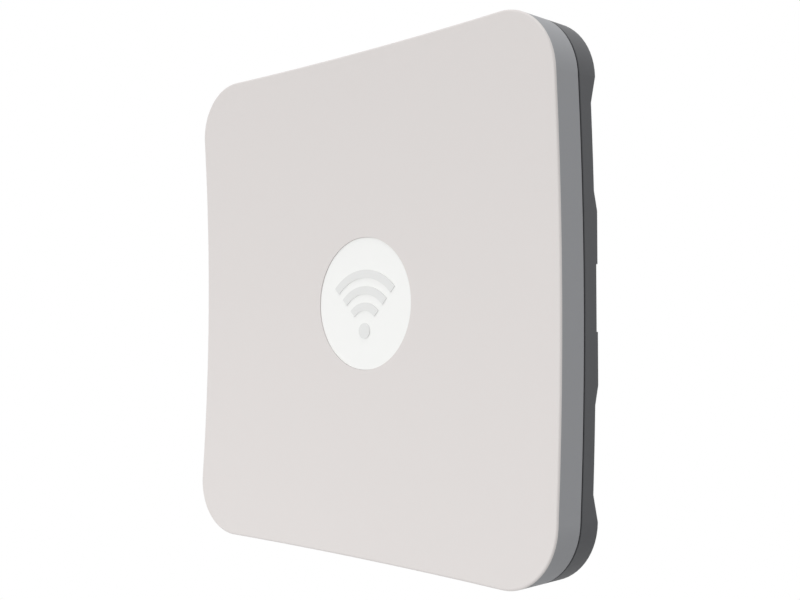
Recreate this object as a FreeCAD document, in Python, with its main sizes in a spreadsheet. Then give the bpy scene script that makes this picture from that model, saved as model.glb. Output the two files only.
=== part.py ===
import FreeCAD, Part

import os
import re

import Sketcher

# A square access point with a dished face, on a steel bracket that is screwed to a ceiling or
# wall. Every piece is drawn flat, as if the unit lay on its back on the mounting plane: x to the
# right, y up the face and z outwards. Each is stood upright as it is placed, so the face looks
# along -Y, the top is +Z, and the origin is the centre of the bracket on the mounting plane.

App = FreeCAD
V = App.Vector
UPRIGHT = App.Rotation(V(1, 0, 0), 90)
SIDEWAYS = App.Rotation(V(0, 0, 1), V(0, -1, 0), V(1, 0, 0), "ZXY")
TURNS = {"x": App.Rotation(V(0, 1, 0), 90), "y": App.Rotation(), "z": UPRIGHT}

SIZES = {
    # Outline and dish of the casing. Heights are measured outwards from the mounting plane.
    "body_width": 220.0,
    "corner_radius": 26.2,
    "dish_radius": 1205.0,
    "lip_thickness": 1.0,
    "cover_thickness": 2.0,
    "edge_round": 0.8,
    "seam_round": 0.3,
    "band_depth": 14.5,
    "seam_gap": 0.8,
    "seam_inset": 0.5,
    "side_depth": 22.0,
    "side_wall": 2.4,
    "locating_clearance": 0.25,
    # Badge in the middle of the face
    "badge_radius": 29.0,
    "badge_pocket": 1.2,
    "badge_recess": 0.45,
    "badge_clearance": 0.1,
    "emblem_dot": 3.4,
    "emblem_stroke": 3.6,
    "emblem_pitch": 7.2,
    "emblem_drop": 12.0,
    # Rear of the casing
    "skirt_width": 4.0,
    "rear_recess": 4.2,
    "rear_skin": 2.2,
    "land_half": 33.0,
    "foot_start": 84.5,
    "foot_rise": 0.8,
    "ramp_run": 3.75,
    "notch_width": 25.7,
    "notch_depth": 0.8,
    "pad_radius": 5.0,
    "pad_sink": 0.7,
    "pad_place": 90.4,
    "pad_clearance": 0.05,
    # Screws that hold the casing together
    "boss_radius": 4.5,
    "boss_bite": 0.2,
    "boss_gap": 0.5,
    "insert_radius": 2.3,
    "insert_length": 6.0,
    "insert_sink": 0.4,
    "casing_screw_length": 14.0,
    "screw_radius": 1.5,
    "head_radius": 2.8,
    "head_height": 1.9,
    "socket_radius": 1.25,
    "socket_depth": 1.0,
    "screw_clearance": 0.2,
    "head_clearance": 0.5,
    "thread_clearance": 0.05,
    "tip_room": 0.5,
    # Bracket and the studs that hang on it
    "bracket_width": 130.0,
    "bracket_corner": 12.0,
    "sheet_steel": 1.5,
    "bracket_height": 1.8,
    "dimple_radius": 9.0,
    "dimple_slope": 1.6,
    "fixing_radius": 2.5,
    "fixing_square": 60.0,
    "gang_spacing": 83.3,
    "feed_hole_radius": 16.0,
    "stud_across": 50.0,
    "stud_up": 42.0,
    "stud_neck": 2.5,
    "stud_head": 4.5,
    "stud_head_from": 0.4,
    "stud_head_height": 1.2,
    "key_clearance": 0.3,
    "entry_clearance": 0.7,
    "lift_travel": 10.0,
    # Cable bay, its door and the way out for the cable
    "bay_half": 38.0,
    "bay_low": 104.0,
    "bay_high": 84.0,
    "bay_depth": 12.0,
    "bay_wall": 2.0,
    "door_thickness": 1.6,
    "door_gap": 0.4,
    "pin_radius": 1.0,
    "pin_clearance": 0.05,
    "pin_grip": 0.01,
    "pin_inset": 0.2,
    "knuckle_radius": 2.2,
    "hinge_setback": 3.0,
    "lug_half": 13.0,
    "lug_width": 2.0,
    "cable_slot": 12.0,
    "cable_slot_roof": 0.43,
    "grommet_wall": 1.9,
    "thumb_notch": 14.0,
    "ledge": 1.2,
    "door_rib": 1.2,
    # Main board and what stands on it
    "standoff_height": 2.6,
    "board_thickness": 1.6,
    "board_gap": 0.2,
    "board_corner": 3.0,
    "board_half": 72.0,
    "board_top": 52.0,
    "board_setback": 4.5,
    "board_screw_across": 66.0,
    "board_screw_up": 46.0,
    "board_screw_down": 46.0,
    "standoff_radius": 3.5,
    "small_screw": 1.25,
    "small_head": 2.5,
    "small_head_height": 1.5,
    "chip_square": 19.0,
    "chip_height": 1.4,
    "chip_up": 8.0,
    "memory_across": 22.0,
    "memory_width": 9.0,
    "memory_length": 13.0,
    "memory_height": 1.1,
    "shield_across": 52.0,
    "shield_width": 32.0,
    "shield_length": 36.0,
    "shield_height": 2.2,
    "shield_skin": 0.3,
    "thermal_pad": 0.5,
    "spreader_width": 60.0,
    "spreader_length": 54.0,
    "spreader_thickness": 0.8,
    "magnetics_width": 15.0,
    "magnetics_length": 11.0,
    "magnetics_height": 2.7,
    "capacitor_radius": 4.0,
    "capacitor_height": 6.0,
    "inductor_square": 7.0,
    "inductor_height": 3.0,
    # Sockets, buttons and lights along the inner wall of the bay
    "jack_width": 16.0,
    "jack_length": 21.0,
    "jack_height": 11.0,
    "jack_mouth_width": 11.8,
    "jack_sill": 1.2,
    "jack_mouth_height": 8.2,
    "jack_mouth_depth": 13.0,
    "jack_clearance": 0.2,
    "jack_headroom": 0.348,
    "contact_pitch": 1.02,
    "contact_width": 0.35,
    "contact_setback": 3.0,
    "power_across": 23.0,
    "power_width": 9.0,
    "power_length": 14.0,
    "power_height": 10.0,
    "power_mouth": 3.1,
    "power_pin": 1.0,
    "power_pin_setback": 1.0,
    "power_depth": 9.5,
    "button_radius": 2.0,
    "button_flange": 2.8,
    "button_flange_length": 0.8,
    "button_travel": 0.8,
    "button_clearance": 0.25,
    "button_rise": 2.3,
    "button_reach": 2.8,
    "mode_across": 30.0,
    "mode_proud": 1.6,
    "reset_across": 21.0,
    "reset_proud": 0.6,
    "switch_square": 6.0,
    "switch_height": 3.8,
    "plunger_length": 0.7,
    "light_across": 13.0,
    "light_pitch": 3.2,
    "light_radius": 1.1,
    "light_rise": 1.8,
    "light_proud": 0.3,
    "light_overlap": 0.7,
    "led_square": 1.6,
    "led_gap": 0.5,
    # Antenna plate, patches and their feeds
    "antenna_gap": 3.4,
    "antenna_plate_thickness": 0.6,
    "antenna_plate_half": 82.0,
    "antenna_plate_low": 58.0,
    "antenna_plate_high": 80.0,
    "post_across": 76.0,
    "post_radius": 3.2,
    "post_low": 50.0,
    "post_high": 70.0,
    "antenna_screw_grip": 4.0,
    "patch_square": 34.0,
    "patch_thickness": 0.5,
    "patch_lift": 1.0,
    "patch_across": 48.0,
    "patch_low": 30.0,
    "patch_high": 45.0,
    "patch_feed": 7.0,
    "feed_pin": 0.6,
    "feed_clearance": 1.2,
    # Label, vents and ground screw on the back
    "label_width": 58.0,
    "label_height": 9.0,
    "label_down": 71.0,
    "label_thickness": 0.2,
    "vent_width": 2.4,
    "vent_length": 14.0,
    "vent_pitch": 6.0,
    "vent_up": 66.0,
    "ground_across": 60.0,
    "ground_down": 91.0,
    "ground_screw_length": 6.0,
    # How far a cutting tool runs out past the face it starts from
    "overcut": 1.0,
}

# Heights that stack up from the housing's floor, as names for use in formulas like the sizes
PLACES = {
    "jack_from": "(rear_recess + rear_skin + jack_clearance)",
    "jack_mouth_from": "(jack_from + jack_sill)",
    "board_from": "(rear_recess + rear_skin + standoff_height)",
    "button_axis": "(board_from + board_thickness + button_rise)",
    "light_axis": "(board_from + board_thickness + light_rise)",
    "antenna_plate_from": "(board_from + board_thickness + antenna_gap)",
    "bay_roof": "(rear_recess + bay_depth)",
}

# Other places worked out from the sizes
HALF = "(body_width/2)"
FLOOR = "(rear_recess + rear_skin)"
SEAM = "(band_depth + seam_gap)"
CORNER_BOSS = (
    "(body_width/2 - corner_radius + (corner_radius - side_wall - boss_radius + boss_bite)/sqrt(2))"
)
SIDE_BOSS = "(body_width/2 - side_wall - boss_radius + boss_bite)"
BOARD_FACE = "(board_from + board_thickness)"
BOARD_EDGE = "(bay_high - board_setback)"
BAY_WALL_IN = "(bay_high - bay_wall)"
HINGE_DOWN = "(bay_low - hinge_setback)"
HINGE_HEIGHT = "(rear_recess + knuckle_radius)"
PLATE_FACE = "(antenna_plate_from + antenna_plate_thickness)"
PATCH_FROM = "(antenna_plate_from + antenna_plate_thickness + patch_lift)"
DISH_RISE = "(dish_radius - sqrt(dish_radius^2 - (bay_high - jack_length)^2))"
FACE = f"(jack_from + jack_height + jack_headroom + cover_thickness - {DISH_RISE})"
TALL = f"({FACE} + side_depth)"
DOOR_INSIDE = "(rear_recess + door_thickness)"
LEDGE_FROM = "(rear_recess + door_thickness + board_gap)"
KNUCKLE_FROM = "(lug_half + lug_width + door_gap)"
PIN_LENGTH = "(bay_half + bay_wall - lug_half - 2*pin_inset)"
GROUND = ("-ground_across", "-ground_down")
VENT_COUNT = 18
CONTACT_COUNT = 8
EMBLEM_ARCS = 3
ENDS = (-1, 1)
SQUARE = [(i, j) for i in ENDS for j in ENDS]

SCREW_PLACES = [(f"{i}*{CORNER_BOSS}", f"{j}*{CORNER_BOSS}") for i, j in SQUARE]
SCREW_PLACES += [(f"{i}*{SIDE_BOSS}", "0") for i in ENDS]
STUD_PLACES = [(f"{i}*stud_across", f"{j}*stud_up") for i, j in SQUARE]
PAD_PLACES = [(f"{i}*pad_place", f"{j}*pad_place") for i, j in SQUARE]
FIXING_PLACES = [(f"{i}*fixing_square/2", f"{j}*fixing_square/2") for i, j in SQUARE]
FIXING_PLACES += [("0", f"{j}*gang_spacing/2") for j in ENDS]
BOARD_SCREWS = [
    (f"{i}*board_screw_across", y) for i in ENDS for y in ("-board_screw_down", "board_screw_up")
]
POSTS = [(f"{i}*post_across", y) for i in ENDS for y in ("-post_low", "post_high")]
PATCHES = [(f"{i}*patch_across", y) for i in ENDS for y in ("-patch_low", "patch_high")]
CAPACITORS = [("44", "-67"), ("55", "-67"), ("-56", "-66")]
INDUCTORS = [("36", "-48"), ("48", "-50"), ("-40", "-50")]
LIGHTS = ["(light_across - light_pitch/2)", "(light_across + light_pitch/2)"]

doc = App.newDocument("CeilingAccessPoint")
sheet = doc.addObject("Spreadsheet::Sheet", "Sizes")
for row, (alias, size) in enumerate(SIZES.items(), start=1):
    sheet.set(f"A{row}", alias.replace("_", " "))
    sheet.set(f"B{row}", str(size))
    sheet.setAlias(f"B{row}", alias)
doc.recompute()
nodes = []


def sized(formula):
    """A formula in the names above, as one that reads the sheet."""

    def read(word):
        name = word.group()
        if name in PLACES:
            return sized(PLACES[name])
        return f"Sizes.{name}" if name in SIZES else name

    return re.sub(r"[a-z_]+", read, formula)


def bind(thing, **formulas):
    for name, formula in formulas.items():
        thing.setExpression(name, sized(formula))
    return thing


def place(thing, x="0", y="0", z="0", along="z"):
    """Stand a thing upright with its own z axis along the named flat axis."""
    thing.Placement = App.Placement(V(), TURNS[along])
    thing.setExpression("Placement.Base.x", sized(x))
    thing.setExpression("Placement.Base.y", sized(f"-({z})"))
    thing.setExpression("Placement.Base.z", sized(y))
    return thing


def box(x, y, z):
    """A block between two values on each axis."""
    block = doc.addObject("Part::Box", "Block")
    bind(block, Length=f"{x[1]} - ({x[0]})", Width=f"{y[1]} - ({y[0]})", Height=f"{z[1]} - ({z[0]})")
    return place(block, x[0], y[0], z[0])


def block_at(x, y, width, length, z, height):
    """A block centred at x, y that stands on the height z."""
    return box(
        (f"({x}) - ({width})/2", f"({x}) + ({width})/2"),
        (f"({y}) - ({length})/2", f"({y}) + ({length})/2"),
        (z, f"({z}) + ({height})"),
    )


def cylinder(radius, x, y, z, length, along="z"):
    rod = doc.addObject("Part::Cylinder", "Rod")
    bind(rod, Radius=radius, Height=length)
    return place(rod, x, y, z, along)


def fuse(*pieces):
    joined = doc.addObject("Part::MultiFuse", "Joined")
    joined.Shapes = list(pieces)
    return joined


def cut(base, *tools):
    cutting = doc.addObject("Part::Cut", "Trimmed")
    cutting.Base = base
    cutting.Tool = fuse(*tools) if len(tools) > 1 else tools[0]
    return cutting


def common(first, second):
    shared = doc.addObject("Part::Common", "Shared")
    shared.Base = first
    shared.Tool = second
    return shared


def group(*pieces):
    together = doc.addObject("Part::Compound", "Group")
    together.Links = list(pieces)
    return together


def node(thing, name):
    """Name a finished piece, which also names its file."""
    thing.Label = name
    nodes.append(thing)
    return thing


def rounded_rectangle(sketch, width, length, radius, x="0", y="0"):
    """Four arcs joined by tangent lines, centred at x, y."""
    corners = ((1, 1), (-1, 1), (-1, -1), (1, -1))
    rough = 40
    turn = App.Units.parseQuantity("90 deg").getValueAs("rad").Value
    arcs = []
    for k, (i, j) in enumerate(corners):
        round_corner = Part.Circle(V(rough * i, rough * j, 0), V(0, 0, 1), rough / 8)
        arcs.append(sketch.addGeometry(Part.ArcOfCircle(round_corner, k * turn, (k + 1) * turn), False))
    for k in range(len(corners)):
        start = sketch.getPoint(arcs[k], 2)
        end = sketch.getPoint(arcs[(k + 1) % 4], 1)
        side = sketch.addGeometry(Part.LineSegment(start, end), False)
        sketch.addConstraint(Sketcher.Constraint("Tangent", arcs[k], 2, side, 1))
        sketch.addConstraint(Sketcher.Constraint("Tangent", side, 2, arcs[(k + 1) % 4], 1))
    for arc, (i, j) in zip(arcs, corners):
        across = f"{x} + {i}*(({width})/2 - ({radius}))"
        up = f"{y} + {j}*(({length})/2 - ({radius}))"
        dimension(sketch, Sketcher.Constraint("Radius", arc, rough / 8), radius)
        dimension(sketch, Sketcher.Constraint("DistanceX", -1, 1, arc, 3, rough * i), across)
        dimension(sketch, Sketcher.Constraint("DistanceY", -1, 1, arc, 3, rough * j), up)


def circle(sketch, radius, x, y):
    ring = sketch.addGeometry(Part.Circle(V(3, 3, 0), V(0, 0, 1), 2), False)
    dimension(sketch, Sketcher.Constraint("Radius", ring, 2), radius)
    dimension(sketch, Sketcher.Constraint("DistanceX", -1, 1, ring, 3, 3), x)
    dimension(sketch, Sketcher.Constraint("DistanceY", -1, 1, ring, 3, 3), y)


def polygon(sketch, corners):
    """A closed outline through corners given as pairs of formulas, in order."""
    rough = ((-5, -5), (5, -5), (6, 5), (-4, 6), (-8, 3), (-9, 0))[: len(corners)]
    sides = []
    for k, point in enumerate(rough):
        target = rough[(k + 1) % len(rough)]
        sides.append(sketch.addGeometry(Part.LineSegment(V(*point, 0), V(*target, 0)), False))
    for k, (x, y) in enumerate(corners):
        sketch.addConstraint(Sketcher.Constraint("Coincident", sides[k - 1], 2, sides[k], 1))
        dimension(sketch, Sketcher.Constraint("DistanceX", -1, 1, sides[k], 1, rough[k][0]), x)
        dimension(sketch, Sketcher.Constraint("DistanceY", -1, 1, sides[k], 1, rough[k][1]), y)


def dimension(sketch, constraint, formula):
    sketch.setExpression(f"Constraints[{sketch.addConstraint(constraint)}]", sized(formula))


def prism(inset, z_from, z_to):
    """The casing's rounded square outline, drawn in by an inset, between two heights."""
    sketch = doc.addObject("Sketcher::SketchObject", "Outline")
    width = f"body_width - 2*({inset})"
    rounded_rectangle(sketch, width, width, f"corner_radius - ({inset})")
    place(sketch, z=z_from)
    solid = doc.addObject("Part::Extrusion", "Prism")
    solid.Base = sketch
    solid.DirMode = "Normal"
    solid.Solid = True
    return bind(solid, LengthFwd=f"{z_to} - ({z_from})")


def dish(depth):
    """The ball whose near side is the dished face, moved back by a depth."""
    ball = doc.addObject("Part::Sphere", "Dish")
    bind(ball, Radius="dish_radius")
    return place(ball, z=f"{FACE} + dish_radius - ({depth})", along="y")


def dished(solid, front, back):
    """What a solid has between two depths behind the face."""
    return cut(common(solid, dish(back)), dish(front))


def face_at(x, y):
    """Height of the dished face over a place."""
    return f"({FACE} + dish_radius - sqrt(dish_radius^2 - ({x})^2 - ({y})^2))"


def rounded_rim(solid, radius, depth):
    """Round a solid's outside edge where the dish, moved back by a depth, cuts it off."""
    ball = dish(depth)
    doc.recompute()
    straight = sheet.body_width / 2 - sheet.corner_radius
    centre = ball.Placement.Base
    rim = []
    for index, edge in enumerate(solid.Shape.Edges, start=1):
        middle = edge.valueAt((edge.FirstParameter + edge.LastParameter) / 2)
        beyond = V(max(abs(middle.x) - straight, 0), 0, max(abs(middle.z) - straight, 0))
        on_dish = abs(middle.distanceToPoint(centre) - sheet.dish_radius) < 0.01
        if on_dish and abs(beyond.Length - sheet.corner_radius) < 0.01:
            rim.append((index, radius, radius))
    rounded = doc.addObject("Part::Fillet", "RoundedRim")
    rounded.Base = solid
    rounded.Edges = rim
    return rounded


def flat_body(z, thickness, width, length, radius, x="0", y="0"):
    """A body padded from a rounded rectangle."""
    body = doc.addObject("PartDesign::Body", "Body")
    body.Placement = App.Placement(V(), UPRIGHT)
    sketch = sketch_on(body, z)
    rounded_rectangle(sketch, width, length, radius, x, y)
    pad = body.newObject("PartDesign::Pad", "Pad")
    pad.Profile = sketch
    bind(pad, Length=thickness)
    return body


def sketch_on(body, z):
    """A sketch parallel to the body's base plane, at a height."""
    sketch = body.newObject("Sketcher::SketchObject", "Sketch")
    sketch.AttachmentSupport = [([o for o in body.Origin.OriginFeatures if o.Role == "XY_Plane"][0], "")]
    sketch.MapMode = "FlatFace"
    sketch.setExpression(".AttachmentOffset.Base.z", sized(z))
    return sketch


def pocket(body, sketch, depth=None):
    """Cut a sketch down through everything, or to a depth."""
    hole = body.newObject("PartDesign::Pocket", "Pocket")
    hole.Profile = sketch
    if depth is None:
        hole.Type = 1
        hole.Midplane = True
    else:
        bind(hole, Length=depth)
    return hole


def screw(x, y, seat, length, radius, head, head_height):
    """A socket-headed screw: its head hangs below the seat and its shank stands above it."""
    shank = cylinder(radius, x, y, seat, length)
    cap = cylinder(head, x, y, f"{seat} - ({head_height})", head_height)
    drive = cylinder("socket_radius", x, y, f"{seat} - ({head_height})", "socket_depth")
    return cut(fuse(shank, cap), drive)


def board_screw(x, y, seat, reach):
    """A small screw with its head on top of what it clamps."""
    shank = cylinder("small_screw", x, y, f"{seat} - ({reach})", reach)
    cap = cylinder("small_head", x, y, seat, "small_head_height")
    drive = cylinder("small_screw/2", x, y, f"{seat} + small_head_height/2", "small_head_height")
    return cut(fuse(shank, cap), drive)


# Front cover: a dished plate whose thin rim lies on the frame and whose thicker middle drops
# inside it, with a shallow round pocket for the badge.
rim_plate = dished(prism("0", "0", TALL), "0", "lip_thickness")
inner_plate = dished(prism("side_wall + locating_clearance", "0", TALL), "lip_thickness", "cover_thickness")
pocket_rod = cylinder("badge_radius + badge_clearance", "0", "0", "0", TALL)
cover = cut(fuse(rim_plate, inner_plate), common(pocket_rod, dish("badge_pocket")))
node(rounded_rim(cover, sheet.edge_round, "0"), "front_cover")

# Badge: a thin disc glued in the pocket, with a raised generic wireless mark on it.
node(dished(cylinder("badge_radius", "0", "0", "0", TALL), "badge_recess", "badge_pocket"), "badge_plate")
marks = [cylinder("emblem_dot", "0", "-emblem_drop", "0", TALL)]
for arc in range(1, EMBLEM_ARCS + 1):
    inner = f"emblem_pitch*{arc} + emblem_dot - emblem_stroke/2"
    outside = cylinder(f"{inner} + emblem_stroke", "0", "-emblem_drop", "0", TALL)
    outside.Angle = 90
    outside.Placement.Rotation = UPRIGHT.multiply(App.Rotation(V(0, 0, 1), 45))
    marks.append(cut(outside, cylinder(inner, "0", "-emblem_drop", "0", TALL)))
node(group(*[dished(mark, "0", "badge_recess") for mark in marks]), "badge_emblem")

# Side frame: the band behind the cover, with a threaded boss in each corner and on each side.
band = dished(cut(prism("0", "0", TALL), prism("side_wall", "0", TALL)), "lip_thickness", "band_depth")
band = rounded_rim(band, sheet.seam_round, "band_depth")
bosses = [
    dished(cylinder("boss_radius", x, y, "0", TALL), "cover_thickness + boss_gap", "band_depth")
    for x, y in SCREW_PLACES
]
insert_holes = []
inserts = []
shank_top = "rear_recess + casing_screw_length + tip_room"
for x, y in SCREW_PLACES:
    mouth = f"({face_at(x, y)} - band_depth)"
    insert_from = f"{mouth} + insert_sink"
    insert_reach = "overcut + insert_sink + insert_length + thread_clearance"
    insert_holes.append(cylinder("insert_radius", x, y, f"{mouth} - overcut", insert_reach))
    insert_holes.append(cylinder("screw_radius + screw_clearance", x, y, "0", shank_top))
    sleeve = cylinder("insert_radius", x, y, insert_from, "insert_length")
    thread = cylinder("screw_radius + thread_clearance", x, y, insert_from, "insert_length")
    inserts.append(cut(sleeve, thread))
node(cut(fuse(band, *bosses), *insert_holes), "side_frame")
node(group(*inserts), "threaded_inserts")

# Perimeter gasket: a thin rubber ring that fills the seam, set back a little from the outside.
ring = cut(prism("seam_inset", "0", TALL), prism("side_wall", "0", TALL))
node(dished(ring, "band_depth", SEAM), "perimeter_gasket")

# Rear housing, outside: a flat floor inside a wall whose rim follows the dish. Its skirt touches
# the ceiling on a land in the middle of each side and is cut away between the lands and the feet.
wall = cut(prism("0", "0", TALL), prism("side_wall", "0", TALL), dish(SEAM))
tray = fuse(rounded_rim(wall, sheet.seam_round, SEAM), prism("0", "0", FLOOR))
span = {-1: ("-body_width", "-foot_start"), 1: ("foot_start", "body_width")}
feet = [box(span[i], span[j], ("-overcut", "rear_recess")) for i, j in SQUARE]
recess = cut(prism("skirt_width", "-overcut", "rear_recess"), *feet)
relief = [box(span[i], span[j], ("-overcut", "foot_rise")) for i, j in SQUARE]
rise = "(rear_recess + foot_rise)"
for quarter in range(4):
    spin = App.Rotation(V(0, 1, 0), 90 * quarter)
    for side in ENDS:
        sketch = doc.addObject("Sketcher::SketchObject", "Window")
        polygon(sketch, (
            (f"{side}*(land_half - ramp_run*overcut)", "-overcut"),
            (f"{side}*(land_half + ramp_run*{rise})", rise),
            (f"{side}*(foot_start - ramp_run*({rise} - foot_rise))", rise),
            (f"{side}*(foot_start + ramp_run*(overcut + foot_rise))", "-overcut"),
        ))
        sketch.Placement = App.Placement(V(), spin.multiply(SIDEWAYS))
        window = doc.addObject("Part::Extrusion", "Window")
        window.Base = sketch
        window.DirMode = "Normal"
        window.Solid = True
        bind(window, LengthFwd="body_width")
        relief.append(cut(window, dish("side_depth")))
for i, j in ((1, 0), (-1, 0), (0, 1), (0, -1)):
    across = "notch_width" if j else "2*(skirt_width + overcut)"
    along = "notch_width" if i else "2*(skirt_width + overcut)"
    notch_height = "overcut + notch_depth"
    relief.append(block_at(f"{i}*{HALF}", f"{j}*{HALF}", across, along, "-overcut", notch_height))
shell = cut(tray, recess, *relief)

# The cable slot stops just short of the seam.
SLOT_TOP = f"({face_at('0', HALF)} - {SEAM} - cable_slot_roof)"

# Rear housing, inside: bosses, standoffs and posts on the floor, and the walls of the cable bay.
raised = [cut(cylinder("boss_radius", x, y, "rear_recess", TALL), dish(SEAM)) for x, y in SCREW_PLACES]
for radius, top, places in (
    ("standoff_radius", "board_from", BOARD_SCREWS),
    ("post_radius", "antenna_plate_from", POSTS),
    ("stud_head", "board_from - board_gap", STUD_PLACES),
):
    raised += [cylinder(radius, x, y, "rear_recess", f"{top} - rear_recess") for x, y in places]
raised.append(cylinder("stud_head", *GROUND, "rear_recess", "rear_skin + ground_screw_length"))
raised.append(box(
    ("-bay_half - bay_wall", "bay_half + bay_wall"),
    ("-bay_low - bay_wall", f"-{BAY_WALL_IN}"),
    ("rear_recess", "bay_roof + bay_wall"),
))
bay = box(("-bay_half", "bay_half"), ("-bay_low", "-bay_high"), ("-overcut", "bay_roof"))
lugs = [
    box(
        (f"{i}*(lug_half + lug_width/2) - lug_width/2", f"{i}*(lug_half + lug_width/2) + lug_width/2"),
        ("-bay_low - bay_wall/2", f"-{HINGE_DOWN} + knuckle_radius"),
        ("rear_recess", f"{HINGE_HEIGHT} + knuckle_radius"),
    )
    for i in ENDS
]
ledges = [
    block_at(f"{i}*(bay_half - 2*ledge)", "-bay_high - ledge/2", "2*ledge", "ledge", LEDGE_FROM, "ledge")
    for i in ENDS
]

# Rear housing, openings: screw holes, the sockets' and buttons' ways through the bay's inner
# wall, the slot for the cable, the thumb notch that opens the door, the vents and the pad seats.
holes = []
for radius, start, length, places in (
    ("screw_radius + screw_clearance", "-overcut", TALL, SCREW_PLACES),
    ("head_radius + head_clearance", "-overcut", "overcut + rear_recess", SCREW_PLACES),
    ("screw_radius + thread_clearance", "0", "board_from", STUD_PLACES),
    ("screw_radius + thread_clearance", "0", "rear_recess + ground_screw_length + tip_room", [GROUND]),
    ("small_screw + thread_clearance", FLOOR, "board_from", BOARD_SCREWS),
    ("small_screw + thread_clearance", FLOOR, "antenna_plate_from", POSTS),
    ("pad_radius + pad_clearance", "0", "foot_rise + pad_sink", PAD_PLACES),
):
    holes += [cylinder(radius, x, y, start, length) for x, y in places]
for x, width, height in (
    ("0", "jack_width", "jack_height"),
    ("power_across", "power_width", "power_height"),
):
    holes.append(box(
        (f"{x} - {width}/2 - jack_clearance", f"{x} + {width}/2 + jack_clearance"),
        ("-bay_high", f"-{BAY_WALL_IN}"),
        ("jack_from - jack_clearance", f"jack_from + {height} + jack_clearance"),
    ))
for radius, height, places in (
    ("button_radius + button_clearance", "button_axis", ("-mode_across", "-reset_across")),
    ("light_radius + thread_clearance", "light_axis", LIGHTS),
):
    for x in places:
        holes.append(cylinder(radius, x, "-bay_high - overcut", height, "bay_wall + 2*overcut", along="y"))
holes.append(box(("-cable_slot/2", "cable_slot/2"), ("-body_width", "-bay_low"), ("-overcut", SLOT_TOP)))
holes.append(cylinder("thumb_notch/2", "0", "-bay_high", "rear_recess - overcut", "overcut + rear_skin/2"))
for k in range(VENT_COUNT):
    x = f"({k} - {VENT_COUNT - 1}/2)*vent_pitch"
    holes.append(block_at(x, "vent_up + vent_length/2", "vent_width", "vent_length", "0", FLOOR))
for start in ("lug_half - overcut/2", "-bay_half - bay_wall - overcut/2"):
    reach = "bay_half + bay_wall - lug_half + overcut"
    holes.append(cylinder("pin_radius + pin_grip", start, f"-{HINGE_DOWN}", HINGE_HEIGHT, reach, along="x"))
inside = cut(fuse(shell, *raised), bay)
node(cut(fuse(inside, *lugs, *ledges), *holes), "rear_housing")

# Port cover: a door over the bay with a knuckle at each end of its lower edge. The gap between
# the knuckles lets the cable out.
door_plate = box(
    ("-bay_half + door_gap", "bay_half - door_gap"),
    (f"-{HINGE_DOWN}", "-bay_high - door_gap"),
    ("rear_recess", DOOR_INSIDE),
)
knuckle_length = f"bay_half - door_gap - {KNUCKLE_FROM}"
knuckles = [
    cylinder("knuckle_radius", start, f"-{HINGE_DOWN}", HINGE_HEIGHT, knuckle_length, along="x")
    for start in (KNUCKLE_FROM, "-bay_half + door_gap")
]
cable_gap = box(
    (f"-{KNUCKLE_FROM}", KNUCKLE_FROM),
    ("-body_width", f"-{HINGE_DOWN} + knuckle_radius*sqrt(2) + door_gap"),
    ("0", "bay_roof"),
)
bore_radius = "pin_radius + pin_clearance"
bore = cylinder(bore_radius, "-bay_half", f"-{HINGE_DOWN}", HINGE_HEIGHT, "2*bay_half", along="x")
pull_y = "-bay_high - 2*door_gap - door_rib/2"
pull = block_at("0", pull_y, "thumb_notch", "door_rib", DOOR_INSIDE, "door_rib")
node(fuse(cut(fuse(door_plate, *knuckles), cable_gap, bore), pull), "port_cover")

# Hinge pins: one at each end of the door, held in the bay's side wall and in a lug.
node(group(*[
    cylinder("pin_radius", start, f"-{HINGE_DOWN}", HINGE_HEIGHT, PIN_LENGTH, along="x")
    for start in ("lug_half + pin_inset", "-bay_half - bay_wall + pin_inset")
]), "port_cover_hinge_pins")

# Cable grommet: a rubber lining in the slot through the lower side.
lining = box(("-cable_slot/2", "cable_slot/2"), (f"-{HALF}", "-bay_low"), ("notch_depth", SLOT_TOP))
way_out = box(
    ("-cable_slot/2 + grommet_wall", "cable_slot/2 - grommet_wall"),
    ("-body_width", "0"),
    ("0", f"{SLOT_TOP} - grommet_wall"),
)
node(cut(lining, way_out), "cable_grommet")

# Foot pads: rubber discs in the corner feet, level with the lands.
node(group(*[
    cylinder("pad_radius", x, y, "0", "foot_rise + pad_sink") for x, y in PAD_PLACES
]), "foot_pads")

# Casing screws, up through the housing into the frame's threaded inserts.
node(group(*[
    screw(x, y, "rear_recess", "casing_screw_length", "screw_radius", "head_radius", "head_height")
    for x, y in SCREW_PLACES
]), "housing_screws")

# Shoulder studs that hang in the bracket's keyholes.
studs = []
neck_from = "(stud_head_from + stud_head_height)"
for x, y in STUD_PLACES:
    thread = cylinder("screw_radius", x, y, "rear_recess", "board_from - 2*board_gap - rear_recess")
    neck = cylinder("stud_neck", x, y, neck_from, f"rear_recess - {neck_from}")
    head = cylinder("stud_head", x, y, "stud_head_from", "stud_head_height")
    drive = cylinder("socket_radius", x, y, "stud_head_from", "socket_depth")
    studs.append(cut(fuse(thread, neck, head), drive))
node(group(*studs), "keyhole_studs")

# Ground screw, beside the bay, and the blank label above it.
node(
    screw(*GROUND, "rear_recess", "ground_screw_length", "screw_radius", "head_radius", "head_height"),
    "ground_screw",
)
label_from = "rear_recess - label_thickness"
node(
    block_at("0", "-label_down", "label_width", "label_height", label_from, "label_thickness"),
    "rear_label",
)

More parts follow.
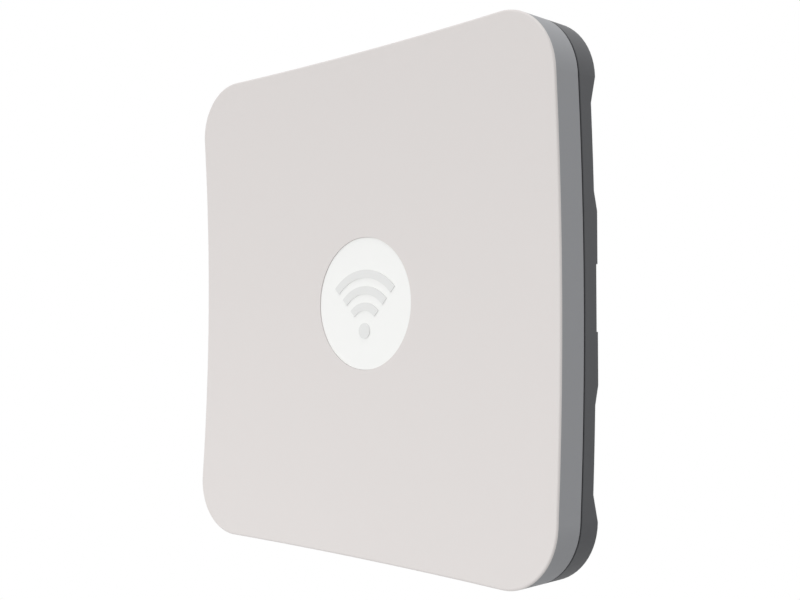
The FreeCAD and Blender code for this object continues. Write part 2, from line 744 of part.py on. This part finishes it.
# Mounting bracket: sheet steel with a dished seat pressed back to the ceiling at each fixing
# hole, a hole for the cable feed and four keyholes.
plate = flat_body("bracket_height", "sheet_steel", "bracket_width", "bracket_width", "bracket_corner")
seats = []
hollows = []
for x, y in FIXING_PLACES:
    for z, cones in (("0", seats), ("sheet_steel", hollows)):
        cone = doc.addObject("Part::Cone", "Seat")
        bind(cone, Radius1="dimple_radius - dimple_slope", Radius2="dimple_radius", Height="bracket_height")
        cones.append(place(cone, x, y, z))
    hollows.append(cylinder("fixing_radius", x, y, "-overcut", "sheet_steel + 2*overcut"))
hollows.append(cylinder("feed_hole_radius", "0", "0", "0", TALL))
for x, y in STUD_PLACES:
    slot = "(stud_neck + key_clearance)"
    hollows.append(cylinder(slot, x, y, "0", TALL))
    hollows.append(cylinder("stud_head + entry_clearance", x, f"{y} + lift_travel", "0", TALL))
    hollows.append(box((f"{x} - {slot}", f"{x} + {slot}"), (y, f"{y} + lift_travel"), ("0", TALL)))
node(cut(fuse(plate, *seats), *hollows), "mounting_bracket")

# Main board, notched round the two sockets that sit half sunk in it.
board = flat_body(
    "board_from", "board_thickness", "2*board_half", f"board_top + {BOARD_EDGE}", "board_corner",
    y=f"(board_top - {BOARD_EDGE})/2",
)
doc.recompute()
notches = sketch_on(board, "board_from")
for x, width, length in (
    ("0", "jack_width", "jack_length"),
    ("power_across", "power_width", "power_length"),
):
    back = f"(bay_high - {length} - jack_clearance)"
    rounded_rectangle(
        notches, f"{width} + 2*jack_clearance", f"2*(bay_high - {back})", "jack_clearance", x, "-bay_high"
    )
for x, y in BOARD_SCREWS:
    circle(notches, "small_screw + screw_clearance", x, y)
pocket(board, notches)
node(board, "main_board")
node(group(*[
    board_screw(x, y, BOARD_FACE, f"{BOARD_FACE} - {FLOOR} - board_gap") for x, y in BOARD_SCREWS
]), "board_screws")

# Chips on the board: processor, memory, shielded radios, magnetics and power parts.
node(block_at("0", "chip_up", "chip_square", "chip_square", BOARD_FACE, "chip_height"), "processor")
node(group(*[
    block_at(f"{i}*memory_across", "chip_up", "memory_width", "memory_length", BOARD_FACE, "memory_height")
    for i in ENDS
]), "memory_chips")
cans = []
for i in ENDS:
    x = f"{i}*shield_across"
    lid = block_at(x, "chip_up", "shield_width", "shield_length", BOARD_FACE, "shield_height")
    room = block_at(
        x, "chip_up", "shield_width - 2*shield_skin", "shield_length - 2*shield_skin", BOARD_FACE,
        "shield_height - shield_skin",
    )
    cans.append(cut(lid, room))
node(group(*cans), "rf_shields")
node(group(*[
    block_at(f"{i}*shield_across", "chip_up", "memory_length", "memory_length", BOARD_FACE, "memory_height")
    for i in ENDS
]), "radio_chips")
pad_from = f"({BOARD_FACE} + chip_height)"
node(block_at("0", "chip_up", "chip_square", "chip_square", pad_from, "thermal_pad"), "thermal_pad")
node(flat_body(
    f"{pad_from} + thermal_pad", "spreader_thickness", "spreader_width", "spreader_length",
    "board_corner", y="chip_up",
), "heat_spreader")
magnetics_y = "-(bay_high - jack_length - jack_clearance - magnetics_length)"
node(
    block_at("0", magnetics_y, "magnetics_width", "magnetics_length", BOARD_FACE, "magnetics_height"),
    "lan_magnetics",
)
node(group(*[
    cylinder("capacitor_radius", x, y, BOARD_FACE, "capacitor_height") for x, y in CAPACITORS
]), "capacitors")
node(group(*[
    block_at(x, y, "inductor_square", "inductor_square", BOARD_FACE, "inductor_height")
    for x, y in INDUCTORS
]), "power_inductors")

# Ethernet socket with its eight contacts, and the power socket with its centre pin.
jack_y = ("-bay_high", "-bay_high + jack_length")
jack = box(("-jack_width/2", "jack_width/2"), jack_y, ("jack_from", "jack_from + jack_height"))
mouth = box(
    ("-jack_mouth_width/2", "jack_mouth_width/2"),
    ("-bay_low", "-bay_high + jack_mouth_depth"),
    ("jack_mouth_from", "jack_mouth_from + jack_mouth_height"),
)
latch = box(
    ("-jack_mouth_width/4", "jack_mouth_width/4"),
    ("-bay_low", "-bay_high + jack_mouth_depth"),
    ("(jack_from + jack_mouth_from)/2", "jack_mouth_from"),
)
node(cut(jack, mouth, latch), "ethernet_jack")
contact_x = [f"({k} - {CONTACT_COUNT - 1}/2)*contact_pitch" for k in range(CONTACT_COUNT)]
node(group(*[
    box(
        (f"{x} - contact_width/2", f"{x} + contact_width/2"),
        ("-bay_high + contact_setback", "-bay_high + jack_mouth_depth"),
        ("jack_mouth_from + jack_mouth_height - 2*contact_width", "jack_mouth_from + jack_mouth_height"),
    )
    for x in contact_x
]), "ethernet_contacts")
power_height = "(jack_from + power_height/2)"
power = box(
    ("power_across - power_width/2", "power_across + power_width/2"),
    ("-bay_high", "-bay_high + power_length"),
    ("jack_from", "jack_from + power_height"),
)
power_way = cylinder("power_mouth", "power_across", "-bay_high", power_height, "power_depth", along="y")
node(cut(power, power_way), "power_jack")
node(cylinder(
    "power_pin", "power_across", "-bay_high + power_pin_setback", power_height,
    "power_depth - power_pin_setback", along="y",
), "power_jack_pin")

# Buttons in the bay's inner wall. A flange inside the wall keeps each one in, and its end stops
# just short of the plunger of a switch on the board when it is pressed home.
shaft_end = f"(-{BAY_WALL_IN} + button_reach)"
switches = []
flange_from = f"-{BAY_WALL_IN} + button_clearance"
for name in ("mode", "reset"):
    x = f"{name}_across"
    start = f"(-bay_high - {name}_proud)"
    shaft = cylinder("button_radius", f"-{x}", start, "button_axis", f"{shaft_end} - {start}", along="y")
    flange = cylinder(
        "button_flange", f"-{x}", flange_from, "button_axis", "button_flange_length", along="y"
    )
    node(fuse(shaft, flange), f"{name}_button")
    switch_from = f"({shaft_end} + button_travel + button_clearance + plunger_length)"
    body_block = box(
        (f"-{x} - switch_square/2", f"-{x} + switch_square/2"),
        (switch_from, f"{switch_from} + switch_square*2/3"),
        (BOARD_FACE, f"{BOARD_FACE} + switch_height"),
    )
    plunger_from = f"{switch_from} - plunger_length"
    plunger = cylinder("button_radius/2", f"-{x}", plunger_from, "button_axis", "plunger_length", along="y")
    switches.append(fuse(body_block, plunger))
node(group(*switches), "button_switches")

# Status lights: two lamps on the board's edge and clear rods that carry their light into the bay.
pipe_from = "(-bay_high - light_proud)"
pipe_to = f"(-{BOARD_EDGE} + light_overlap)"
node(group(*[
    cylinder("light_radius", x, pipe_from, "light_axis", f"{pipe_to} - {pipe_from}", along="y")
    for x in LIGHTS
]), "light_pipes")
node(group(*[
    box(
        (f"{x} - led_square/2", f"{x} + led_square/2"),
        (f"{pipe_to} + led_gap", f"{pipe_to} + led_gap + led_square"),
        (BOARD_FACE, "light_axis + led_square/2"),
    )
    for x in LIGHTS
]), "status_leds")

# Antennas: a steel plate on the four posts, and patches on spacers above it, each fed by a pin
# that passes through a clearance hole from the board.
antenna_plate = flat_body(
    "antenna_plate_from", "antenna_plate_thickness", "2*antenna_plate_half",
    "antenna_plate_low + antenna_plate_high", "board_corner",
    y="(antenna_plate_high - antenna_plate_low)/2",
)
doc.recompute()
piercing = sketch_on(antenna_plate, "antenna_plate_from")
for x, y in POSTS:
    circle(piercing, "small_screw + screw_clearance", x, y)
for x, y in PATCHES:
    circle(piercing, "feed_pin + feed_clearance", x, f"{y} - patch_feed")
pocket(antenna_plate, piercing)
node(antenna_plate, "antenna_plate")
node(group(*[
    board_screw(x, y, PLATE_FACE, "antenna_plate_thickness + antenna_screw_grip") for x, y in POSTS
]), "antenna_plate_screws")
node(group(*[
    block_at(x, y, "patch_square", "patch_square", PATCH_FROM, "patch_thickness") for x, y in PATCHES
]), "antenna_patches")
node(group(*[
    cylinder("standoff_radius/2", x, y, PLATE_FACE, "patch_lift") for x, y in PATCHES
]), "antenna_spacers")
node(group(*[
    cylinder("feed_pin", x, f"{y} - patch_feed", BOARD_FACE, f"{PATCH_FROM} - {BOARD_FACE}")
    for x, y in PATCHES
]), "antenna_feed_pins")

# Check every object, then write one file for each piece.
doc.recompute()
failed = [thing.Name for thing in doc.Objects if "Invalid" in thing.State or "Error" in thing.State]
if failed:
    raise RuntimeError("failed objects: " + ", ".join(failed))
for piece in nodes:
    if piece.Shape.isNull() or not piece.Shape.isValid() or not piece.Shape.Solids:
        raise RuntimeError("bad shape: " + piece.Label)
os.makedirs("parts", exist_ok=True)
for piece in nodes:
    piece.Shape.exportStep(f"parts/{piece.Label}.step")
    print(piece.Label, len(piece.Shape.Solids), round(piece.Shape.Volume, 1))
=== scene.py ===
import math

import bpy
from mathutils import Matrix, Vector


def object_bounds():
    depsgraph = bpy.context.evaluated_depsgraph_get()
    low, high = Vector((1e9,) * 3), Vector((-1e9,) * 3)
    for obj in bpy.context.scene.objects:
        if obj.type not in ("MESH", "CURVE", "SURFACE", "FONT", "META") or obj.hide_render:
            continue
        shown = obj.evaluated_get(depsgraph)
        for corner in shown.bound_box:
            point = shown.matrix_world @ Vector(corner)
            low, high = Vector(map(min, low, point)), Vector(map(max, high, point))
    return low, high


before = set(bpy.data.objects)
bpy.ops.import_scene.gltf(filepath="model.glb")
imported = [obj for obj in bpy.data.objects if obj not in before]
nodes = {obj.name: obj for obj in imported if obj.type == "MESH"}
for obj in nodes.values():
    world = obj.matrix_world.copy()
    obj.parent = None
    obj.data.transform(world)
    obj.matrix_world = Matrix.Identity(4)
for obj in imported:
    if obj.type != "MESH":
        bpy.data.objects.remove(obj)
built_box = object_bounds()


# ---------------------------------------------------------------- front cover
# One injection-moulded plate of off-white ABS, dished like a shallow bowl. The tool was spark
# eroded, so the face has a fine even grain and no gloss. It snaps onto the side frame.


class Value:
    """A socket of a shader node that can stand in ordinary sums."""

    def __init__(self, finish, socket):
        self.finish = finish
        self.socket = socket

    def maths(self, operation, other):
        return self.finish.node("ShaderNodeMath", {"operation": operation}, {0: self, 1: other})

    def __add__(self, other):
        return self.maths("ADD", other)

    def __mul__(self, other):
        return self.maths("MULTIPLY", other)

    __radd__ = __add__
    __rmul__ = __mul__


class Finish:
    """A material made of nodes round one Principled shader."""

    def __init__(self, name, **uniform):
        self.material = bpy.data.materials.new(name)
        self.material.use_nodes = True
        self.tree = self.material.node_tree
        self.skin = self.tree.nodes["Principled BSDF"]
        for label, amount in uniform.items():
            socket = label.replace("_", " ").title().replace("Ior", "IOR")
            self.skin.inputs[socket].default_value = amount

    def node(self, kind, settings=None, inputs=None, output=0):
        """Any node: its settings are set first, then the values or links of its sockets."""
        made = self.tree.nodes.new(kind)
        for name, setting in (settings or {}).items():
            setattr(made, name, setting)
        for name, given in (inputs or {}).items():
            if isinstance(given, Value):
                self.tree.links.new(given.socket, made.inputs[name])
            elif made.inputs[name].type == "RGBA" and len(given) == 3:
                made.inputs[name].default_value = (*given, 1.0)
            else:
                made.inputs[name].default_value = given
        return Value(self, made.outputs[output])

    def place(self):
        """Where a point lies on the unit, in metres."""
        return self.node("ShaderNodeTexCoord", output="Object")

    def noise(self, per_metre, detail=2.0, roughness=0.5, at=None):
        """Soft cloudy noise, with so many lumps to a metre."""
        inputs = {"Vector": at or self.place(), "Scale": per_metre, "Detail": detail, "Roughness": roughness}
        return self.node("ShaderNodeTexNoise", None, inputs)

    def blend(self, factor, first, second):
        """Mix two colours."""
        sockets = {"Factor": factor, 6: first, 7: second}
        return self.node("ShaderNodeMix", {"data_type": "RGBA"}, sockets, output=2)

    def bump(self, height, strength, depth, under=None):
        """A normal that follows a height, on top of another normal where one is given."""
        inputs = {"Height": height, "Strength": strength, "Distance": depth}
        if under:
            inputs["Normal"] = under
        return self.node("ShaderNodeBump", None, inputs)

    def feed(self, socket, value):
        self.tree.links.new(value.socket, self.skin.inputs[socket])


def shade(colour, amount):
    """A colour made lighter or darker by an amount."""
    return tuple(min(1.0, channel * amount) for channel in colour)


def moulded_plastic(name, colour, roughness=0.5, grain=2600.0, grain_depth=0.00003, mottle=0.03):
    """Plastic from a spark-eroded tool: a fine grain over long, faint flow marks."""
    finish = Finish(name, ior=1.47)
    spot = finish.place()
    flow = finish.noise(per_metre=7.0, detail=3.0, roughness=0.55, at=spot)
    grit = finish.noise(per_metre=grain, detail=3.0, roughness=0.6, at=spot)
    dust = finish.noise(per_metre=320.0, detail=4.0, roughness=0.65, at=spot)
    tone = flow * 0.7 + dust * 0.15 + grit * 0.15
    darker, lighter = shade(colour, 1.0 - mottle), shade(colour, 1.0 + mottle)
    finish.feed("Base Color", finish.blend(tone, darker, lighter))
    finish.feed("Roughness", grit * 0.10 + dust * 0.08 + (roughness - 0.09))
    waviness = finish.bump(flow, strength=0.12, depth=0.0004)
    finish.feed("Normal", finish.bump(grit, strength=0.55, depth=grain_depth, under=waviness))
    return finish.material


def dress(name, material):
    """Give a piece of the frame its finish."""
    for held in nodes[name].material_slots:
        held.material = material


COVER_WHITE = (0.774, 0.737, 0.722)
dress("front_cover", moulded_plastic("cover_white", COVER_WHITE, roughness=0.52, mottle=0.012))


# ---------------------------------------------------------------- badge
# A disc of bright-white acrylic, glued in a shallow pocket of the cover, with a generic wireless
# mark moulded proud of it in light grey. Both are smoother than the cover.


def polished_plastic(name, colour, roughness):
    """Plastic from a polished tool: nearly even, with fine rub marks under a thin gloss."""
    finish = Finish(name, ior=1.49, coat_roughness=0.12)
    finish.skin.inputs["Coat Weight"].default_value = 0.12
    spot = finish.place()
    cloud = finish.noise(per_metre=40.0, detail=3.0, roughness=0.5, at=spot)
    rub = finish.noise(per_metre=1500.0, detail=2.0, roughness=0.5, at=spot)
    finish.feed("Base Color", finish.blend(cloud, shade(colour, 0.985), shade(colour, 1.01)))
    finish.feed("Roughness", cloud * 0.05 + rub * 0.05 + (roughness - 0.05))
    finish.feed("Normal", finish.bump(rub, strength=0.2, depth=0.000012))
    return finish.material


BADGE_WHITE = (0.985, 0.99, 0.975)
EMBLEM_GREY = (0.84, 0.845, 0.835)
dress("badge_plate", polished_plastic("badge_white", BADGE_WHITE, roughness=0.32))
dress("badge_emblem", polished_plastic("emblem_grey", EMBLEM_GREY, roughness=0.36))


# ---------------------------------------------------------------- side frame
# The band behind the cover: ABS from a tool with a slightly coarser grain. Its mid-grey, a touch blue, is
# painted shade: the shade on the unit's sides, painted into the band's colour.
# It holds the brass inserts that the casing screws bite into.

FRAME_PAINTED_SHADE_GREY = (0.348, 0.355, 0.372)
dress("side_frame", moulded_plastic("frame_grey", FRAME_PAINTED_SHADE_GREY, roughness=0.48, grain=2200.0, mottle=0.02))


# ---------------------------------------------------------------- rear housing and port cover
# The tray that everything stands in, and the door over the cable bay: ABS with the same grain as the frame
# but rubbed a little smoother. Their dark grey is painted shade: the deeper shade on the unit's rear sides,
# which face away from the light, painted into the colour.

HOUSING_PAINTED_SHADE_GREY = (0.103, 0.106, 0.113)
housing_grey = moulded_plastic("housing_grey", HOUSING_PAINTED_SHADE_GREY, roughness=0.46, grain=2200.0, mottle=0.03)
dress("rear_housing", housing_grey)
dress("port_cover", housing_grey)


# ---------------------------------------------------------------- rubber
# The gasket in the seam, the lining of the cable slot and the foot pads: moulded black rubber,
# dull, with a faint bloom.


def rubber(name, colour):
    """Moulded rubber: small pores under a patchy bloom."""
    finish = Finish(name, roughness=0.8, ior=1.5)
    spot = finish.place()
    bloom = finish.noise(per_metre=90.0, detail=4.0, roughness=0.6, at=spot)
    pores = finish.noise(per_metre=3000.0, detail=2.0, roughness=0.5, at=spot)
    finish.feed("Base Color", finish.blend(bloom, shade(colour, 0.75), shade(colour, 1.35)))
    finish.feed("Roughness", bloom * 0.12 + pores * 0.06 + 0.68)
    finish.feed("Normal", finish.bump(pores, strength=0.4, depth=0.00003))
    return finish.material


RUBBER_BLACK = (0.045, 0.046, 0.05)
black_rubber = rubber("rubber", RUBBER_BLACK)
for name in ("perimeter_gasket", "cable_grommet", "foot_pads"):
    dress(name, black_rubber)


# ---------------------------------------------------------------- bracket and fasteners
# The bracket is pressed from zinc-coated sheet, so it shows large frost-like spangles and a fine
# rolled grain. Screws and studs are turned and plated; the inserts and ground screw are brass.


def plated_sheet(name, colour, spangles=170.0, rolling=(40.0, 40.0, 2400.0)):
    """Plated or plain rolled sheet: crystals of one tone each, with fine lines from the rolls."""
    finish = Finish(name, metallic=1.0)
    spot = finish.place()
    crystals = finish.node(
        "ShaderNodeTexVoronoi", {"feature": "F1"}, {"Vector": spot, "Scale": spangles}, output="Color"
    )
    spangle = finish.node("ShaderNodeSeparateColor", None, {0: crystals})
    stretched = finish.node("ShaderNodeVectorMath", {"operation": "MULTIPLY"}, {0: spot, 1: rolling})
    rolled = finish.noise(per_metre=1.0, detail=3.0, roughness=0.6, at=stretched)
    cloud = finish.noise(per_metre=25.0, detail=4.0, roughness=0.6, at=spot)
    tone = spangle * 0.45 + cloud * 0.35 + rolled * 0.2
    finish.feed("Base Color", finish.blend(tone, shade(colour, 0.8), shade(colour, 1.15)))
    finish.feed("Roughness", spangle * 0.14 + rolled * 0.1 + cloud * 0.08 + 0.26)
    finish.feed("Normal", finish.bump(rolled, strength=0.25, depth=0.00002))
    return finish.material


def turned_metal(name, colour, roughness=0.3):
    """Small turned or stamped metal: fine scratches and a little tarnish."""
    finish = Finish(name, metallic=1.0)
    spot = finish.place()
    tarnish = finish.noise(per_metre=260.0, detail=4.0, roughness=0.6, at=spot)
    scratches = finish.noise(per_metre=5200.0, detail=2.0, roughness=0.6, at=spot)
    finish.feed("Base Color", finish.blend(tarnish, shade(colour, 0.78), shade(colour, 1.12)))
    finish.feed("Roughness", tarnish * 0.16 + scratches * 0.1 + (roughness - 0.1))
    finish.feed("Normal", finish.bump(scratches, strength=0.2, depth=0.00001))
    return finish.material


ZINC = (0.62, 0.63, 0.64)
SCREW_STEEL = (0.58, 0.58, 0.57)
BRASS = (0.72, 0.52, 0.24)
dress("mounting_bracket", plated_sheet("steel", ZINC))
plated_steel = turned_metal("screw_steel", SCREW_STEEL)
screws = ("housing_screws", "board_screws", "antenna_plate_screws")
for name in (*screws, "keyhole_studs", "port_cover_hinge_pins"):
    dress(name, plated_steel)
brass = turned_metal("brass", BRASS, roughness=0.32)
for name in ("threaded_inserts", "ground_screw"):
    dress(name, brass)


# ---------------------------------------------------------------- label
# A blank label on the back, above the cable bay: matt white polyester film, stuck on with a thin
# adhesive.

LABEL_WHITE = (0.80, 0.80, 0.78)
dress("rear_label", polished_plastic("label", LABEL_WHITE, roughness=0.5))


# ---------------------------------------------------------------- main board
# Glass-fibre board under green solder mask. Copper runs show through as slightly lighter lines,
# with tinned dots where they pass through the board.

CELLS_PER_METRE = 240.0
RUNS_PER_CELL = 6.0
RUN_FROM = 0.3
VIAS_PER_METRE = 420.0
VIA_RADIUS = 0.12


def circuit_board(name, mask, copper, tin):
    """A board under solder mask: runs of copper, and tinned dots where a run passes through."""
    finish = Finish(name, ior=1.5)
    finish.skin.inputs["Coat Weight"].default_value = 0.35
    spot = finish.place()
    cells = finish.node(
        "ShaderNodeTexVoronoi", {"distance": "MANHATTAN", "feature": "F2"},
        {"Vector": spot, "Scale": CELLS_PER_METRE}, output="Distance",
    )
    run = finish.node("ShaderNodeMath", {"operation": "PINGPONG"}, {0: cells * RUNS_PER_CELL, 1: 0.5})
    track = finish.node("ShaderNodeMath", {"operation": "GREATER_THAN"}, {0: run, 1: RUN_FROM})
    dots = finish.node(
        "ShaderNodeTexVoronoi", {"feature": "F1"},
        {"Vector": spot, "Scale": VIAS_PER_METRE}, output="Distance",
    )
    via = finish.node("ShaderNodeMath", {"operation": "LESS_THAN"}, {0: dots, 1: VIA_RADIUS})
    finish.feed("Base Color", finish.blend(via, finish.blend(track, mask, copper), tin))
    finish.feed("Roughness", finish.noise(per_metre=500.0, detail=3.0) * 0.15 + 0.25)
    finish.feed("Normal", finish.bump(track, strength=0.3, depth=0.00003))
    return finish.material


MASK_GREEN = (0.012, 0.10, 0.045)
COVERED_COPPER = (0.03, 0.19, 0.08)
BARE_TIN = (0.62, 0.60, 0.55)
dress("main_board", circuit_board("board_green", MASK_GREEN, COVERED_COPPER, BARE_TIN))


# ---------------------------------------------------------------- chips and shields
# Packages of moulded epoxy, tinned cans over the radios, a grey thermal pad and an aluminium
# heat spreader.


def moulded_epoxy(name, colour):
    """The sandy epoxy of a chip's package, or of sintered ferrite."""
    finish = Finish(name, ior=1.5)
    spot = finish.place()
    sand = finish.noise(per_metre=2400.0, detail=3.0, roughness=0.6, at=spot)
    cloud = finish.noise(per_metre=160.0, detail=2.0, roughness=0.5, at=spot)
    tone = sand * 0.5 + cloud * 0.5
    finish.feed("Base Color", finish.blend(tone, shade(colour, 0.7), shade(colour, 1.5)))
    finish.feed("Roughness", sand * 0.2 + 0.45)
    finish.feed("Normal", finish.bump(sand, strength=0.4, depth=0.00003))
    return finish.material


CHIP_BLACK = (0.022, 0.022, 0.024)
FERRITE = (0.09, 0.09, 0.095)
TIN = (0.68, 0.67, 0.63)
PAD_GREY = (0.30, 0.33, 0.40)
ALUMINIUM = (0.80, 0.80, 0.81)
CAN_SILVER = (0.72, 0.72, 0.74)
chip_black = moulded_epoxy("chip_black", CHIP_BLACK)
for name in ("processor", "memory_chips", "radio_chips", "lan_magnetics"):
    dress(name, chip_black)
dress("power_inductors", moulded_epoxy("ferrite", FERRITE))
dress("rf_shields", turned_metal("tin", TIN, roughness=0.34))
dress("thermal_pad", rubber("pad_grey", PAD_GREY))
dress("heat_spreader", plated_sheet("aluminium", ALUMINIUM))
dress("capacitors", turned_metal("capacitor", CAN_SILVER, roughness=0.28))


# ---------------------------------------------------------------- sockets, buttons and lights
# What the bay's inner wall carries: black sockets with plated contacts, two black buttons over
# their switches, and clear rods that carry light from the lamps behind them.

JACK_BLACK = (0.03, 0.03, 0.032)
BUTTON_BLACK = (0.05, 0.05, 0.053)
GOLD = (0.86, 0.64, 0.28)
jack_black = moulded_plastic("jack_black", JACK_BLACK, roughness=0.4, grain=3400.0, mottle=0.2)
for name in ("ethernet_jack", "power_jack", "button_switches", "antenna_spacers"):
    dress(name, jack_black)
button_dark = moulded_plastic("button_dark", BUTTON_BLACK, roughness=0.38, grain=3000.0, mottle=0.15)
for name in ("mode_button", "reset_button"):
    dress(name, button_dark)
gold = turned_metal("gold", GOLD, roughness=0.24)
for name in ("ethernet_contacts", "power_jack_pin", "antenna_feed_pins"):
    dress(name, gold)


def clear_acrylic(name, darkest, lightest):
    """Clear moulded acrylic with a faint haze."""
    finish = Finish(name, ior=1.49)
    finish.skin.inputs["Transmission Weight"].default_value = 0.9
    haze = finish.noise(per_metre=900.0, detail=2.0)
    finish.feed("Base Color", finish.blend(haze, darkest, lightest))
    finish.feed("Roughness", haze * 0.12 + 0.04)
    return finish.material


ROD_TINTS = ((0.86, 0.90, 0.92), (0.95, 0.97, 0.98))
LAMP_WHITE = (0.85, 0.84, 0.66)
dress("light_pipes", clear_acrylic("clear", *ROD_TINTS))
dress("status_leds", polished_plastic("led_white", LAMP_WHITE, roughness=0.3))


# ---------------------------------------------------------------- antennas
# An aluminium plate with copper patches on spacers above it, each with a gold feed pin that comes
# up from the board. Plate and patches are stamped from sheet.

PLATE_ALUMINIUM = (0.78, 0.78, 0.79)
COPPER = (0.86, 0.50, 0.34)
dress("antenna_plate", plated_sheet("antenna_aluminium", PLATE_ALUMINIUM))
dress("antenna_patches", turned_metal("copper", COPPER, roughness=0.3))


# ---------------------------------------------------------------- studio
# The unit hangs as it would on a wall, well above a pale floor, in white surroundings. One large
# soft light stands low in front and to the left, and a weaker one hangs above. Distances are in widths.

low, high = built_box
width = high.x - low.x


def glow(name, size, place, watts):
    """A soft rectangular light that faces the unit."""
    light = bpy.data.lights.new(name, "AREA")
    light.shape = "RECTANGLE"
    light.size, light.size_y = (side * width for side in size)
    light.energy = watts
    lamp = bpy.data.objects.new(name, light)
    lamp.location = [along * width for along in place]
    lamp.rotation_euler = (-lamp.location).to_track_quat("-Z", "Y").to_euler()
    bpy.context.scene.collection.objects.link(lamp)


glow("front_softbox", size=(4.0, 4.0), place=(-3.0, -8.0, -2.0), watts=12.8)
glow("overhead", size=(5.0, 3.0), place=(1.5, -1.0, 6.0), watts=3.5)

# The floor fades out towards its rim, so it runs into the white of the surroundings with no edge.
FLOOR_SIDES = 96
FLOOR_DROP = 1.6
FLOOR_REACH = 6
FLOOR_SOLID = 2.2
FLOOR_TINTS = ((0.60, 0.60, 0.60), (0.64, 0.64, 0.64))
reach = FLOOR_REACH * width
floor_height = low.z - FLOOR_DROP * width
turns = [2 * math.pi * side / FLOOR_SIDES for side in range(FLOOR_SIDES)]
rim = [(reach * math.cos(turn), reach * math.sin(turn), floor_height) for turn in turns]
floor_mesh = bpy.data.meshes.new("floor")
floor_mesh.from_pydata(rim, [], [tuple(range(FLOOR_SIDES))])
floor = bpy.data.objects.new("floor", floor_mesh)
bpy.context.scene.collection.objects.link(floor)
pale = Finish("pale_floor", roughness=0.9)
pale.feed("Base Color", pale.blend(pale.noise(per_metre=2.0), *FLOOR_TINTS))
from_middle = pale.node("ShaderNodeVectorMath", {"operation": "LENGTH"}, {0: pale.place()}, output="Value")
fade = {
    "Value": from_middle, "From Min": FLOOR_SOLID * width, "From Max": reach, "To Min": 1.0, "To Max": 0.0
}
pale.feed("Alpha", pale.node("ShaderNodeMapRange", {"interpolation_type": "SMOOTHSTEP"}, fade))
floor_mesh.materials.append(pale.material)

# The surroundings look plain white, but light the unit more from above than from below.
DOME_STRENGTH = 0.62
DOME_SHADES = {"From Min": -1.0, "From Max": 1.0, "To Min": 0.15, "To Max": 1.6}
world = bpy.data.worlds.new("studio")
world.use_nodes = True
sky = world.node_tree
white = sky.nodes["Background"]
white.inputs["Color"].default_value = (1.0, 1.0, 1.0, 1.0)
white.inputs["Strength"].default_value = 1.0
dome = sky.nodes.new("ShaderNodeBackground")
dome.inputs["Strength"].default_value = DOME_STRENGTH
facing = sky.nodes.new("ShaderNodeTexCoord")
split = sky.nodes.new("ShaderNodeSeparateXYZ")
rise = sky.nodes.new("ShaderNodeMapRange")
for socket, amount in DOME_SHADES.items():
    rise.inputs[socket].default_value = amount
seen = sky.nodes.new("ShaderNodeLightPath")
choose = sky.nodes.new("ShaderNodeMixShader")
for leaves, enters in (
    (facing.outputs["Generated"], split.inputs[0]),
    (split.outputs["Z"], rise.inputs["Value"]),
    (rise.outputs["Result"], dome.inputs["Color"]),
    (seen.outputs["Is Camera Ray"], choose.inputs[0]),
    (dome.outputs[0], choose.inputs[1]),
    (white.outputs[0], choose.inputs[2]),
    (choose.outputs[0], sky.nodes["World Output"].inputs["Surface"]),
):
    sky.links.new(leaves, enters)
bpy.context.scene.world = world

# The camera stands to the right of the face and looks very slightly up.
VIEW_PLACE = (1.5975, -1.5805, -0.0710)
VIEW_TURN = (92.04, 0.0, 44.98)
VIEW_LENS = 49.47
camera = bpy.data.cameras.new("camera")
camera.sensor_width = 36.0
camera.lens = VIEW_LENS
viewer = bpy.data.objects.new("camera", camera)
viewer.location = [along * width for along in VIEW_PLACE]
viewer.rotation_euler = [math.radians(turn) for turn in VIEW_TURN]
bpy.context.scene.collection.objects.link(viewer)
bpy.context.scene.camera = viewer
bpy.context.scene.view_settings.view_transform = "Standard"
